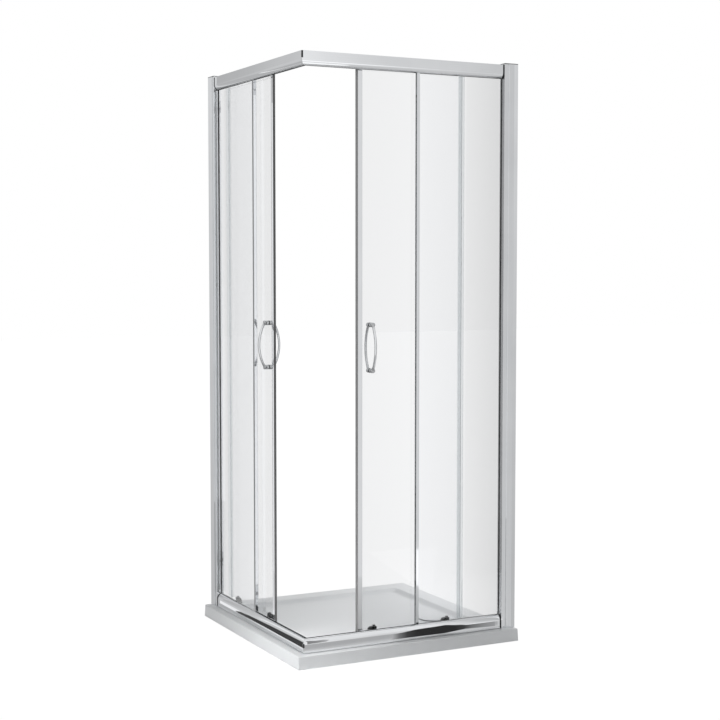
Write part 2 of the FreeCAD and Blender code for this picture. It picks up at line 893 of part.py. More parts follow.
def rail_end_caps():
    inset = S.end_cap_inset
    inner = track_near - inset
    low = sill + inset
    high = bottom_lip - inset
    step = track_floor + S.track_wall_height - inset
    far = bottom_depth - inset
    groove_floor = bottom_lip - S.groove_depth
    shoulder = bottom_lip - S.shoulder_height
    outline = [
        (inset, low),
        (far, low),
        (far, step),
        (inner, step),
        (inner, high),
        (groove_far, high),
        (groove_far, groove_floor),
        (groove_near, groove_floor),
        (groove_near, high),
        Turn(S.shoulder_width, high, shoulder),
        (inset, shoulder),
    ]
    screws = rail_screw_places()
    lower = end_cap("bottom_end_cap", outline, bottom_plug, screws[0])
    low = top_lip + inset
    high = top_face - inset
    step = ledge_low + inset
    far = top_depth - inset
    groove_roof = top_lip + S.groove_depth
    shoulder = top_lip + S.shoulder_height
    outline = [
        Turn(inset, shoulder, shoulder),
        (S.shoulder_width, low),
        (groove_near, low),
        (groove_near, groove_roof),
        (groove_far, groove_roof),
        (groove_far, low),
        (inner, low),
        (inner, step),
        (far, step),
        (far, high),
        (inset, high),
    ]
    upper = end_cap("top_end_cap", outline, top_plug, screws[1])
    keep_group("rail_end_caps", both_sides([lower, upper]))


def sill_seals():
    body = new_body("sill_seal", SIDE)
    near = S.sill_seal_inset
    far = bottom_depth - S.sill_seal_inset
    gap = S.mitre_gap
    outline = [(near + gap, near), (rail_end, near), (rail_end, far), (far + gap, far)]
    extrude(body, "XY_Plane", [outline], ZERO, S.sill_seal_height)
    keep_group("sill_seals", both_sides([body]))


# Screws that hold the frame together
def jamb_screw(index, up):
    at = shifted(SIDE, jamb_screw_along(), profile_far, up)
    tip = shifted(SIDE, jamb_screw_along(), profile_far - S.jamb_screw_length, up)
    head = cylinder_in(f"jamb_screw_head_{index}", at, S.screw_head_radius, S.screw_head_height)
    shank = cylinder_in(f"jamb_screw_shank_{index}", tip, S.screw_radius, S.jamb_screw_length)
    return fuse(f"jamb_screw_{index}", [head, shank])


def rail_screw(index, across, up):
    at = shifted(SIDE, jamb_web_end, across, up)
    tip = shifted(SIDE, jamb_web_end - S.rail_screw_length, across, up)
    head = cylinder_along(f"rail_screw_head_{index}", at, S.screw_head_radius, S.screw_head_height)
    shank = cylinder_along(f"rail_screw_shank_{index}", tip, S.screw_radius, S.rail_screw_length)
    return fuse(f"rail_screw_{index}", [head, shank])


def frame_screws():
    screws = [jamb_screw(i, up) for i, up in enumerate(jamb_screw_heights())]
    screws += [rail_screw(i, across, up) for i, (across, up) in enumerate(rail_screw_places())]
    keep_group("frame_screws", both_sides(screws))


# Fixed panels
def fixed_glass():
    low = shifted(SIDE, fixed_glass_start, fixed_near, fixed_low)
    high = shifted(SIDE, fixed_glass_end, fixed_far, fixed_top)
    keep_pair("fixed_glass", box("fixed_glass_right", low, high))


def glazing_gaskets():
    """A rubber channel around the three held edges of each fixed pane."""
    body = new_body("glazing_gasket", SIDE)
    start = fixed_strip_end + S.gasket_gap
    end = jamb_groove_end - S.gasket_gap
    low = fixed_low - S.glass_seat + S.gasket_gap
    high = fixed_top + S.glass_seat - S.gasket_gap
    lip = jamb_edge - S.gasket_lip
    lip_low = bottom_lip + S.gasket_lip
    lip_high = top_lip - S.gasket_lip
    outline = [
        (start, low),
        (end, low),
        (end, high),
        (start, high),
        (start, lip_high),
        (lip, lip_high),
        (lip, lip_low),
        (start, lip_low),
    ]
    near = groove_near + S.gasket_gap
    extrude(body, "XZ_Plane", [outline], near, S.groove_width - S.gasket_gap * 2)
    slot = rectangle(start - S.cut_margin, fixed_low, fixed_glass_end, fixed_top)
    extrude(body, "XZ_Plane", [slot], fixed_near, S.glass_thickness, cut=True)
    keep_group("glazing_gaskets", both_sides([body]))


def fixed_edge_strips():
    body = new_body("fixed_edge_strip", SIDE)
    near = fixed_mid - S.fixed_strip_depth / 2
    far = fixed_mid + S.fixed_strip_depth / 2
    outline = [
        (fixed_strip_start, near),
        (fixed_strip_end, near),
        (fixed_strip_end, fixed_near - S.edge_gap),
        (fixed_glass_start, fixed_near - S.edge_gap),
        (fixed_glass_start, fixed_far + S.edge_gap),
        (fixed_strip_end, fixed_far + S.edge_gap),
        (fixed_strip_end, far),
        (fixed_strip_start, far),
    ]
    low = bottom_lip + S.fit_gap
    extrude(body, "XY_Plane", [outline], low, top_lip - S.fit_gap - low)
    round_edges(
        body,
        S.wall_profile_radius,
        edge_at(x=fixed_strip_start, y=near),
        edge_at(x=fixed_strip_start, y=far),
    )
    keep_group("fixed_edge_strips", both_sides([body]))


# Stops in the top rails
def door_stops():
    closed = closed_lead + S.front_wheel - S.hanger_half_width - S.stop_gap
    opened = open_lead + rear_wheel + S.hanger_half_width + S.stop_gap
    near = track_near + S.fit_gap
    high = top_face - S.rail_web - S.fit_gap
    stops = []
    for name, start in (("closed_stop", closed - S.stop_length), ("open_stop", opened)):
        low_corner = shifted(SIDE, start, near, high - S.stop_height)
        high_corner = shifted(SIDE, start + S.stop_length, near + S.stop_width, high)
        stops.append(box(name, low_corner, high_corner))
    keep_group("door_stops", both_sides(stops))


# Sliding door panes and edge seals
def handle_heights():
    return [S.handle_height - S.handle_span / 2, S.handle_height + S.handle_span / 2]


def door_glass():
    body = new_body("door_glass_right", DOOR)
    start = S.magnet_length + S.edge_web
    end = door_width - S.trail_seal_web - S.fit_gap
    pane = rectangle(start, door_low, end, door_top)
    extrude(body, "XZ_Plane", [pane], door_near, S.glass_thickness)
    wheels = (S.front_wheel, rear_wheel)
    holes = [Circle(S.handle_from_edge, up, S.glass_hole_radius) for up in handle_heights()]
    holes += [Circle(along, hanger_bolt, S.glass_hole_radius) for along in wheels]
    low_bolts = [along - S.housing_bolt_offset for along in wheels]
    holes += [Circle(along, housing_bolt, S.glass_hole_radius) for along in low_bolts]
    extrude(body, "XZ_Plane", holes, door_near, S.glass_thickness, cut=True)
    keep_pair("door_glass", body, DOOR_SHIFT)


def door_edge_profile():
    body = new_body("door_edge_profile_right", DOOR)
    start = S.magnet_length
    end = start + S.edge_profile_width
    seat = start + S.edge_web - S.fit_gap
    outline = [
        (start, edge_near),
        (end, edge_near),
        (end, door_near - S.edge_gap),
        (seat, door_near - S.edge_gap),
        (seat, door_far + S.edge_gap),
        (end, door_far + S.edge_gap),
        (end, edge_far),
        (start, edge_far),
    ]
    extrude(body, "XY_Plane", [outline], door_low, door_top - door_low)
    keep_pair("door_edge_profile", body, DOOR_SHIFT)


def magnet_seal():
    """A seal with a slanted face that meets the other door's seal at the corner."""
    body = new_body("magnet_seal_right", DOOR)
    outline = [
        (ZERO, edge_near),
        (S.magnet_length, edge_near),
        (S.magnet_length, edge_far),
        (edge_far - edge_near, edge_far),
    ]
    extrude(body, "XY_Plane", [outline], door_low, door_top - door_low)
    keep_pair("magnet_seal", body, DOOR_SHIFT)


def trailing_seal():
    body = new_body("trailing_seal_right", DOOR)
    start = door_width - S.trail_seal_width
    seat = door_width - S.trail_seal_web
    fin = door_width - S.trail_fin_width
    outline = [
        (start, edge_near),
        (fin, edge_near),
        (fin, edge_near - S.trail_fin_reach),
        (door_width, edge_near - S.trail_fin_reach),
        (door_width, edge_far),
        (start, edge_far),
        (start, door_far + S.edge_gap),
        (seat, door_far + S.edge_gap),
        (seat, door_near - S.edge_gap),
        (start, door_near - S.edge_gap),
    ]
    low = bottom_lip + S.fit_gap
    extrude(body, "XY_Plane", [outline], low, top_lip - S.fit_gap - low)
    keep_pair("trailing_seal", body, DOOR_SHIFT)


# Handles
def bow_radius():
    reach = S.handle_span / 2
    return (reach * reach + S.handle_rise * S.handle_rise) / (S.handle_rise * 2)


def handle_bow():
    """The curved bar, turned about an axis along the door."""
    root = door_near - S.washer_thickness
    bar_end = root - S.handle_foot_length + S.handle_foot_cover
    centre = bar_end - S.handle_rise + bow_radius()
    body = new_body("handle_bow", shifted(DOOR, S.handle_from_edge, centre, S.handle_height))
    section = [Circle(ZERO, -bow_radius(), S.handle_bar_radius)]
    angle = arc_sine(S.handle_span / 2 / bow_radius()) * 2
    revolve(body, "XY_Plane", section, "H_Axis", angle)
    return body


def handle_foot(index, up):
    root = door_near - S.washer_thickness
    tip = root - S.handle_foot_length
    body = new_body(f"handle_foot_{index}", shifted(DOOR, S.handle_from_edge, tip, up))
    extrude(body, "XZ_Plane", [Circle(ZERO, ZERO, S.handle_foot_radius)], ZERO, S.handle_foot_length)
    round_edges(body, S.handle_foot_rounding, edge_at(y=ZERO))
    start = S.handle_foot_length - S.handle_hole_depth
    hole = [Circle(ZERO, ZERO, S.stud_hole_radius)]
    extrude(body, "XZ_Plane", hole, start, S.handle_hole_depth, cut=True)
    return body


def handles():
    feet = [handle_foot(i, up) for i, up in enumerate(handle_heights())]
    outer = fuse("outer_handle_right", [handle_bow()] + feet)
    keep_pair("outer_handle", outer, DOOR_SHIFT)
    inner = doc.addObject("Part::Mirroring", "inner_handle_right")
    inner.Source = outer
    inner.Normal = FreeCAD.Vector(0, 1, 0)
    bind(inner, "Base.y", DOOR[1] + door_mid)
    keep_pair("inner_handle", inner, DOOR_SHIFT)


def handle_studs():
    reach = S.washer_thickness + S.handle_hole_depth - S.fit_gap
    length = S.glass_thickness + reach * 2
    starts = [shifted(DOOR, S.handle_from_edge, door_near - reach, up) for up in handle_heights()]
    studs = [cylinder_in(f"handle_stud_{i}", at, S.stud_radius, length) for i, at in enumerate(starts)]
    group = keep_group("handle_studs_right", studs)
    keep("handle_studs_left", mirrored("handle_studs_left", group, DOOR_SHIFT))


def handle_washers():
    washers = []
    for i, up in enumerate(handle_heights()):
        for side, inward in (("outer", door_near - S.washer_thickness), ("inner", door_far)):
            at = shifted(DOOR, S.handle_from_edge, inward, up)
            disc = cylinder_in(f"{side}_disc_{i}", at, S.handle_foot_radius, S.washer_thickness)
            hole = cylinder_in(f"{side}_disc_hole_{i}", at, S.stud_hole_radius, S.washer_thickness)
            washers.append(cut_from(f"{side}_washer_{i}", disc, hole))
    group = keep_group("handle_washers_right", washers)
    keep("handle_washers_left", mirrored("handle_washers_left", group, DOOR_SHIFT))


# Top hangers, sprung lower rollers and their wheels
def hanger_plate(name, along):
    body = new_body(name, shifted(DOOR, along, door_near - S.hanger_thickness, ZERO))
    low = hanger_bolt - S.hanger_margin
    high = top_axle + S.hanger_top_margin
    reach = S.hanger_half_width
    extrude(body, "XZ_Plane", [rectangle(-reach, low, reach, high)], ZERO, S.hanger_thickness)
    corners = [edge_at(x=x, z=z) for x in (-reach, reach) for z in (low, high)]
    round_edges(body, S.hanger_radius, *corners)
    hole = [Circle(ZERO, hanger_bolt, S.bolt_hole_radius)]
    extrude(body, "XZ_Plane", hole, ZERO, S.hanger_thickness, cut=True)
    return body


def top_hanger(name, along):
    plate_mid = door_near - S.hanger_thickness / 2
    collar_end = wheel_near - S.side_gap
    head_start = wheel_far + S.side_gap
    head_end = head_start + S.axle_head_width
    pieces = [hanger_plate(f"{name}_plate", along)]
    for part, radius, start, end in (
        ("collar", S.collar_radius, plate_mid, collar_end),
        ("axle", S.axle_radius, plate_mid, head_end),
        ("head", S.axle_head_radius, head_start, head_end),
    ):
        at = shifted(DOOR, along, start, top_axle)
        pieces.append(cylinder_in(f"{name}_{part}", at, radius, end - start))
    return fuse(name, pieces)


def wheel(name, along, up):
    """A grooved wheel that turns about an axis across the door."""
    body = new_body(name, shifted(DOOR, along, wheel_near, up))
    bore = S.axle_radius + S.running_gap
    rim = S.wheel_radius
    width = S.wheel_width
    groove_start = (width - S.wheel_groove_width) / 2
    groove_end = (width + S.wheel_groove_width) / 2
    outline = [
        (bore, ZERO),
        (rim, ZERO),
        (rim, groove_start),
        (roll_radius, groove_start),
        (roll_radius, groove_end),
        (rim, groove_end),
        (rim, width),
        (bore, width),
    ]
    revolve(body, "XY_Plane", [outline], "V_Axis")
    return body


def roller_housing(name, along):
    body = new_body(name, shifted(DOOR, along, door_far, ZERO))
    outline = rectangle(-S.housing_lead, housing_low, S.housing_trail, housing_top)
    extrude(body, "XZ_Plane", [outline], ZERO, S.housing_depth)
    round_edges(body, S.housing_radius, edge_at(x=-S.housing_lead, z=housing_top))
    across = S.housing_depth / 2
    bore = [Circle(ZERO, across, S.rod_radius + S.running_gap)]
    extrude(body, "XY_Plane", bore, housing_low, S.housing_height, cut=True)
    pocket = [Circle(ZERO, across, S.spring_bore_radius)]
    extrude(body, "XY_Plane", pocket, housing_low, S.spring_room, cut=True)
    hole = [Circle(-S.housing_bolt_offset, housing_bolt, S.bolt_hole_radius)]
    extrude(body, "XZ_Plane", hole, ZERO, S.bolt_length, cut=True)
    return body


def release_slider(name, along):
    """A rod with a knob above the housing and a cheek below that carries the wheel."""
    reach = S.slider_half_width
    head_near = rod_at - S.rod_radius - S.slider_head_margin
    head_low = shifted(DOOR, along - reach, head_near, slider_head_low)
    head_high = shifted(DOOR, along + reach, cheek_far, slider_head_top)
    cheek_low = shifted(DOOR, along - reach, cheek_near, bottom_axle - S.cheek_margin)
    cheek_high = shifted(DOOR, along + reach, cheek_far, slider_head_top)
    knob_low = housing_top + S.knob_gap
    rod_low = slider_head_low + S.slider_head_height / 2
    rod_high = knob_low + S.knob_height / 2
    rod = shifted(DOOR, along, rod_at, rod_low)
    knob = shifted(DOOR, along, rod_at, knob_low)
    axle_start = wheel_near - S.side_gap - S.axle_head_width
    axle_end = cheek_near + S.cheek_thickness / 2
    pieces = [
        box(f"{name}_head", head_low, head_high),
        box(f"{name}_cheek", cheek_low, cheek_high),
        cylinder_up(f"{name}_rod", rod, S.rod_radius, rod_high - rod_low),
        cylinder_up(f"{name}_knob", knob, S.knob_radius, S.knob_height),
    ]
    for part, radius, start, end in (
        ("axle", S.axle_radius, axle_start, axle_end),
        ("axle_head", S.axle_head_radius, axle_start, axle_start + S.axle_head_width),
        ("axle_collar", S.axle_head_radius, wheel_far + S.side_gap, axle_end),
    ):
        at = shifted(DOOR, along, start, bottom_axle)
        pieces.append(cylinder_in(f"{name}_{part}", at, radius, end - start))
    return fuse(name, pieces)


def arc_to(begin, knee, end):
    """The arc between two points whose tangents meet at the knee."""
    middle = (begin + end) / 2
    slope = math.acos((end - begin).Length / 2 / (knee - begin).Length)
    crown = middle + (knee - middle) * (math.tan(slope / 2) / math.tan(slope))
    return Part.Arc(begin, crown, end).toShape()


def two_arcs(begin, leaving, end, arriving):
    """Two arcs that join two points without a corner."""
    way = end - begin
    both = leaving + arriving
    bend = 1 - leaving.dot(arriving)
    ahead = way.dot(both)
    reach = (math.sqrt(ahead**2 + 2 * bend * way.dot(way)) - ahead) / (2 * bend)
    first = begin + leaving * reach
    second = end - arriving * reach
    meet = (first + second) / 2
    return [arc_to(begin, first, meet), arc_to(meet, second, end)]


def coil_at(index, radius, rise):
    """A quarter-turn point of a coil, and the direction in which the coil runs there."""
    turn = index * math.pi / 2
    point = FreeCAD.Vector(radius * math.cos(turn), radius * math.sin(turn), rise * index)
    onward = FreeCAD.Vector(-radius * math.sin(turn), radius * math.cos(turn), rise / (math.pi / 2))
    return point, onward.normalize()


def print_coil_gap(name, line):
    points = [vertex.Point for vertex in line.OrderedVertexes]
    half_turn = len(points) // SPRING_QUARTERS * 2
    pairs = ((p, q) for i, p in enumerate(points) for q in points[i + half_turn :])
    gap = min(p.distanceToPoint(q) for p, q in pairs) - S.spring_wire_radius.value * 2
    print(f"{name}: least gap to itself {gap:.2f} mm")


def release_spring(name, along):
    start = slider_head_top + S.spring_end_gap
    end = spring_top - S.spring_end_gap
    rise = (end - start).value / SPRING_QUARTERS
    stations = [coil_at(i, S.spring_radius.value, rise) for i in range(SPRING_QUARTERS + 1)]
    arcs = []
    for (begin, leaving), (finish, arriving) in zip(stations, stations[1:]):
        arcs += two_arcs(begin, leaving, finish, arriving)
    coil = doc.addObject("Part::Feature", f"{name}_line")
    coil.Shape = Part.Wire(arcs)
    print_coil_gap(name, coil.Shape)
    place(coil, shifted(DOOR, along, rod_at, start))
    section = doc.addObject("Part::Circle", f"{name}_section")
    facing = FreeCAD.Rotation(FreeCAD.Vector(0, 0, 1), stations[0][1])
    section.Placement = FreeCAD.Placement(FreeCAD.Vector(), facing)
    place(section, shifted(DOOR, along + S.spring_radius, rod_at, start))
    bind(section, "Radius", S.spring_wire_radius)
    spring = doc.addObject("Part::Sweep", name)
    spring.Sections = [section]
    spring.Spine = (coil, [])
    spring.Solid = True
    return spring


def roller_bolt(name, along, up, head_at, shank_from, shank_to):
    at = shifted(DOOR, along, head_at, up)
    head = cylinder_in(f"{name}_head", at, S.bolt_head_radius, S.bolt_head_height)
    at = shifted(DOOR, along, shank_from, up)
    shank = cylinder_in(f"{name}_shank", at, S.bolt_radius, shank_to - shank_from)
    return fuse(name, [head, shank])


def roller_bolts():
    bolts = []
    for place_name, along in (("front", S.front_wheel), ("rear", rear_wheel)):
        tip = door_near - S.hanger_thickness + S.fit_gap
        name = f"top_bolt_{place_name}"
        bolts.append(roller_bolt(name, along, hanger_bolt, door_far, tip, door_far))
        outside = door_near - S.bolt_head_height
        tip = door_far + S.bolt_length - S.fit_gap
        beside = along - S.housing_bolt_offset
        name = f"low_bolt_{place_name}"
        bolts.append(roller_bolt(name, beside, housing_bolt, outside, door_near, tip))
    group = keep_group("roller_bolts_right", bolts)
    keep("roller_bolts_left", mirrored("roller_bolts_left", group, DOOR_SHIFT))


def rollers():
    hangers = []
    housings = []
    for end, along in (("front", S.front_wheel), ("rear", rear_wheel)):
        hangers.append(top_hanger(f"top_hanger_{end}", along))
        housings.append(roller_housing(f"roller_housing_{end}", along))
        moving = {
            f"top_wheel_{end}": wheel(f"top_wheel_{end}_right", along, top_axle),
            f"bottom_wheel_{end}": wheel(f"bottom_wheel_{end}_right", along, bottom_axle),
            f"release_slider_{end}": release_slider(f"release_slider_{end}_right", along),
            f"release_spring_{end}": release_spring(f"release_spring_{end}_right", along),
        }
        for stem, item in moving.items():
            keep_pair(stem, item, DOOR_SHIFT)
    group = keep_group("top_hangers_right", hangers)
    keep("top_hangers_left", mirrored("top_hangers_left", group, DOOR_SHIFT))
    group = keep_group("roller_housings_right", housings)
    keep("roller_housings_left", mirrored("roller_housings_left", group, DOOR_SHIFT))


def write_nodes():
    doc.recompute()
    for item in doc.Objects:
        if {"Invalid", "Error"} & set(item.State):
            raise RuntimeError(f"{item.Label} did not build")
    os.makedirs("parts", exist_ok=True)
    for name, item in nodes.items():
        if item.Shape.isNull() or not item.Shape.isValid():
            raise RuntimeError(f"{name} has no valid shape")
        item.Shape.exportStep(os.path.join("parts", f"{name}.step"))


shower_tray()
waste_flange()
waste_cover()
wall_profile()
wall_jamb()
profile_caps()
bottom_rail()
top_rail()
corner_brackets()
rail_end_caps()
sill_seals()
frame_screws()
fixed_glass()
glazing_gaskets()
fixed_edge_strips()
door_stops()
door_glass()
door_edge_profile()
magnet_seal()
trailing_seal()
handles()
handle_studs()
handle_washers()
roller_bolts()
rollers()
write_nodes()
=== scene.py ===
import math

import bpy
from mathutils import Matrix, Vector


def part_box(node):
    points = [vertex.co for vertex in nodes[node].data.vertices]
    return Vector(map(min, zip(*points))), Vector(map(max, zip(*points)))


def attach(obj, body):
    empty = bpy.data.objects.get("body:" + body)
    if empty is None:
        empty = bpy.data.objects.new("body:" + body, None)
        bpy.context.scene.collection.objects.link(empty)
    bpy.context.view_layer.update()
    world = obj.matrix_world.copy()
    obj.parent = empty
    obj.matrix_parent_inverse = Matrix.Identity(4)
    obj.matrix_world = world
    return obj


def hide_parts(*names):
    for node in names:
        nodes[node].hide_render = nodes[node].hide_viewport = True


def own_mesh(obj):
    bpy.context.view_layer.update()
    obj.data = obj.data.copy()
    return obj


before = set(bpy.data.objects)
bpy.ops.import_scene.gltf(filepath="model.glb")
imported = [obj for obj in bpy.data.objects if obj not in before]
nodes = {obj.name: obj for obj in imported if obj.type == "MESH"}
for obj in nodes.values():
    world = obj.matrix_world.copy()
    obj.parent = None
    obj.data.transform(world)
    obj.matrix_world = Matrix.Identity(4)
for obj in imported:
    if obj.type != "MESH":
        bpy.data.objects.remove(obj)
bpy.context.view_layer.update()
scene = bpy.context.scene
scene.view_settings.view_transform = "Standard"

SIDES = ("right", "left")
ENDS = ("front", "rear")
ALONG = {"right": 0, "left": 1}
# Where the outer line of both glazed sides starts, in metres; the glass tints and their painted shade are
# placed from here
CORNER = -0.37


# Node helpers
def fill(tree, socket, value):
    if isinstance(value, bpy.types.NodeSocket):
        tree.links.new(value, socket)
    else:
        socket.default_value = value


def add(tree, kind, inputs=None, **options):
    """Adds a node, sets its options and fills its inputs with values or links."""
    made = tree.nodes.new(kind)
    for name, value in options.items():
        setattr(made, name, value)
    for key, value in (inputs or {}).items():
        fill(tree, made.inputs[key], value)
    return made


def new_look(name, **fixed):
    """A material whose uniform values sit on its shader's own sockets."""
    material = bpy.data.materials.new(name)
    material.use_nodes = True
    tree = material.node_tree
    surface = tree.nodes["Principled BSDF"]
    for key, value in fixed.items():
        surface.inputs[key.replace("_", " ")].default_value = value
    return material, tree, surface


def here(tree):
    """The point on the piece at rest, in metres."""
    return add(tree, "ShaderNodeTexCoord").outputs["Object"]


def grain(tree, per_metre, detail=3.0, roughness=0.55, warp=0.0):
    """Noise with so many waves a metre along each axis."""
    mapped = add(tree, "ShaderNodeMapping", {"Vector": here(tree), "Scale": per_metre})
    inputs = {
        "Vector": mapped.outputs["Vector"],
        "Scale": 1.0,
        "Detail": detail,
        "Roughness": roughness,
        "Distortion": warp,
    }
    return add(tree, "ShaderNodeTexNoise", inputs).outputs["Fac"]


def even(per_metre):
    return (per_metre, per_metre, per_metre)


def ramp(tree, factor, stops):
    made = add(tree, "ShaderNodeValToRGB", {"Fac": factor})
    band = made.color_ramp.elements
    band[0].position, band[1].position = stops[0][0], stops[-1][0]
    for at, _ in stops[1:-1]:
        band.new(at)
    for element, (_, colour) in zip(band, stops):
        element.color = (*colour, 1)
    return made.outputs["Color"]


def spread(tree, factor, low, high, start=0.35, end=0.65):
    """Stretches a factor between start and end to run from low to high."""
    inputs = {"Value": factor, "From Min": start, "From Max": end, "To Min": low, "To Max": high}
    return add(tree, "ShaderNodeMapRange", inputs).outputs["Result"]


def maths(tree, operation, first, second=0.0):
    return add(tree, "ShaderNodeMath", {0: first, 1: second}, operation=operation).outputs[0]


def mix(tree, factor, first, second, kind):
    made = add(tree, "ShaderNodeMix", data_type="RGBA", blend_type=kind)
    for socket, value in zip(("Factor_Float", "A_Color", "B_Color"), (factor, first, second)):
        fill(tree, next(s for s in made.inputs if s.identifier == socket), value)
    return next(s for s in made.outputs if s.identifier == "Result_Color")


def multiply(tree, first, second):
    return mix(tree, 1.0, first, second, "MULTIPLY")


def blend(tree, factor, first, second):
    return mix(tree, factor, first, second, "MIX")


def softened(tree, radius):
    """The surface direction with sharp edges eased over a small radius."""
    return add(tree, "ShaderNodeBevel", {"Radius": radius}, samples=6).outputs["Normal"]


def bump(tree, height, depth, base=None):
    inputs = {"Height": height, "Distance": depth, "Strength": 1.0}
    if base:
        inputs["Normal"] = base
    return add(tree, "ShaderNodeBump", inputs).outputs["Normal"]


def finish_look(tree, surface, **linked):
    for key, socket in linked.items():
        tree.links.new(socket, surface.inputs[key.replace("_", " ")])


# Materials
def tray_resin():
    material, tree, surface = new_look("tray_resin", IOR=1.5, Coat_Weight=0.25, Coat_Roughness=0.12)
    cloud = grain(tree, even(4), detail=3)
    speck = grain(tree, even(900), detail=1)
    colour = ramp(tree, cloud, [(0.3, (0.846, 0.862, 0.876)), (0.7, (0.868, 0.884, 0.896))])
    flecks = ramp(tree, speck, [(0.3, (0.985, 0.985, 0.982)), (0.6, (1, 1, 1))])
    finish_look(
        tree,
        surface,
        Base_Color=multiply(tree, colour, flecks),
        Roughness=spread(tree, cloud, 0.3, 0.36),
        Normal=bump(tree, speck, 0.000004),
    )
    return material


def drawn_metal(axis):
    """Bright aluminium with fine lines along the way that it was drawn."""
    material, tree, surface = new_look(f"bright_aluminium_{'xyz'[axis]}", Metallic=1.0)
    per_metre = [900.0] * 3
    per_metre[axis] = 3.0
    lines = grain(tree, per_metre, detail=4)
    cloud = grain(tree, even(6))
    colour = ramp(tree, cloud, [(0.3, (0.79, 0.8, 0.815)), (0.7, (0.84, 0.85, 0.862))])
    marks = ramp(tree, lines, [(0.3, (0.96, 0.96, 0.96)), (0.6, (1, 1, 1))])
    finish_look(
        tree,
        surface,
        Base_Color=multiply(tree, colour, marks),
        Roughness=spread(tree, lines, 0.03, 0.065),
        Normal=bump(tree, lines, 0.000001, softened(tree, 0.0006)),
    )
    return material


def edge_strip():
    """Upright drawn metal with a painted dark reflection on the faces that look along -X."""
    material = drawn_metal(2).copy()
    material.name = "edge_strip"
    tree = material.node_tree
    surface = tree.nodes["Principled BSDF"]
    metal = surface.inputs["Base Color"].links[0].from_socket
    facing = add(tree, "ShaderNodeTexCoord").outputs["Normal"]
    parts = add(tree, "ShaderNodeSeparateXYZ", {"Vector": facing})
    turned = spread(tree, parts.outputs[0], 0.0, 1.0, -1.0, 0.0)
    # Painted reflection: faces that look along -X are darkened to stand in for a dark reflection.
    painted_dark_reflection = ramp(tree, turned, [(0.2, grey(0.4)), (0.4, grey(1))])
    finish_look(tree, surface, Base_Color=multiply(tree, metal, painted_dark_reflection))
    return material


def chrome():
    material, tree, surface = new_look("chrome", Metallic=1.0)
    smudge = grain(tree, even(60), detail=5, warp=0.6)
    finish_look(
        tree,
        surface,
        Base_Color=ramp(tree, smudge, [(0.3, (0.83, 0.84, 0.85)), (0.7, (0.88, 0.885, 0.89))]),
        Roughness=spread(tree, smudge, 0.03, 0.08),
        Normal=bump(tree, grain(tree, even(300)), 0.000004, softened(tree, 0.0004)),
    )
    return material


def handle_chrome():
    """Chrome with a painted dark reflection on the two feet of each bow."""
    material = chrome().copy()
    material.name = "handle_chrome"
    tree = material.node_tree
    surface = tree.nodes["Principled BSDF"]
    plain = surface.inputs["Base Color"].links[0].from_socket
    low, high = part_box("outer_handle_right")
    middle, half = (high[2] + low[2]) / 2, (high[2] - low[2]) / 2
    parts = add(tree, "ShaderNodeSeparateXYZ", {"Vector": here(tree)})
    away = maths(tree, "ABSOLUTE", maths(tree, "SUBTRACT", parts.outputs[2], middle))
    share = maths(tree, "DIVIDE", away, half)
    # Painted reflection: the chrome darkens toward both ends of the bow, most at the feet.
    tone = ramp(tree, share, [(0.5, grey(0.92)), (0.76, grey(0.8)), (0.84, grey(0.58))])
    finish_look(tree, surface, Base_Color=multiply(tree, plain, tone))
    return material


def side_glass(name, side, tints):
    """Clear safety glass with a grey tint that changes along the pane as painted shade, and a greener tint
    at its cut edges.
    """
    material, tree, surface = new_look(name, Transmission_Weight=1.0, IOR=1.5)
    parts = add(tree, "ShaderNodeSeparateXYZ", {"Vector": here(tree)})
    low, high = tints[0][0] + CORNER, tints[-1][0] + CORNER
    along = spread(tree, parts.outputs[ALONG[side]], 0.0, 1.0, low, high)
    stops = [((at + CORNER - low) / (high - low), colour) for at, colour in tints]
    # Painted shade: the grey glass tint is graded along the pane, lighter or darker by place.
    grey_tint_and_painted_shade = ramp(tree, along, stops)
    facing = add(tree, "ShaderNodeTexCoord").outputs["Normal"]
    faces = add(tree, "ShaderNodeSeparateXYZ", {"Vector": facing})
    across = maths(tree, "ABSOLUTE", faces.outputs[1 - ALONG[side]])
    edge = ramp(tree, across, [(0.4, (0.78, 0.88, 0.85)), (0.6, (1, 1, 1))])
    spots = grain(tree, even(420), detail=2)
    finish_look(
        tree,
        surface,
        Base_Color=multiply(tree, grey_tint_and_painted_shade, edge),
        Roughness=spread(tree, spots, 0.0, 0.012, 0.6, 0.75),
        Normal=bump(tree, grain(tree, even(7), detail=1), 0.00002),
    )
    clear = add(tree, "ShaderNodeBsdfTransparent", {"Color": (0.87, 0.89, 0.89, 1)})
    path = add(tree, "ShaderNodeLightPath")
    shaders = {0: path.outputs["Is Shadow Ray"], 1: surface.outputs[0], 2: clear.outputs[0]}
    mixed = add(tree, "ShaderNodeMixShader", shaders)
    tree.links.new(mixed.outputs[0], tree.nodes["Material Output"].inputs["Surface"])
    return material


def rubber(name, dark, light):
    material, tree, surface = new_look(name, IOR=1.5, Specular_IOR_Level=0.35)
    cloud = grain(tree, even(90), detail=4)
    fine = grain(tree, even(2600), detail=2)
    finish_look(
        tree,
        surface,
        Base_Color=ramp(tree, cloud, [(0.3, dark), (0.7, light)]),
        Roughness=spread(tree, cloud, 0.5, 0.72),
        Normal=bump(tree, fine, 0.00004, softened(tree, 0.0003)),
    )
    return material


def gasket_rubber():
    """Dark glazing rubber with a painted highlight: it pales along the sill."""
    material = rubber("gasket_rubber", grey(0.14), grey(0.18))
    tree = material.node_tree
    surface = tree.nodes["Principled BSDF"]
    dark = surface.inputs["Base Color"].links[0].from_socket
    parts = add(tree, "ShaderNodeSeparateXYZ", {"Vector": here(tree)})
    # Painted highlight: the rubber turns pale below 0.08 to 0.12 m up.
    height = spread(tree, parts.outputs[2], 0.0, 1.0, 0.08, 0.12)
    finish_look(tree, surface, Base_Color=blend(tree, height, (0.6, 0.605, 0.61, 1), dark))
    return material


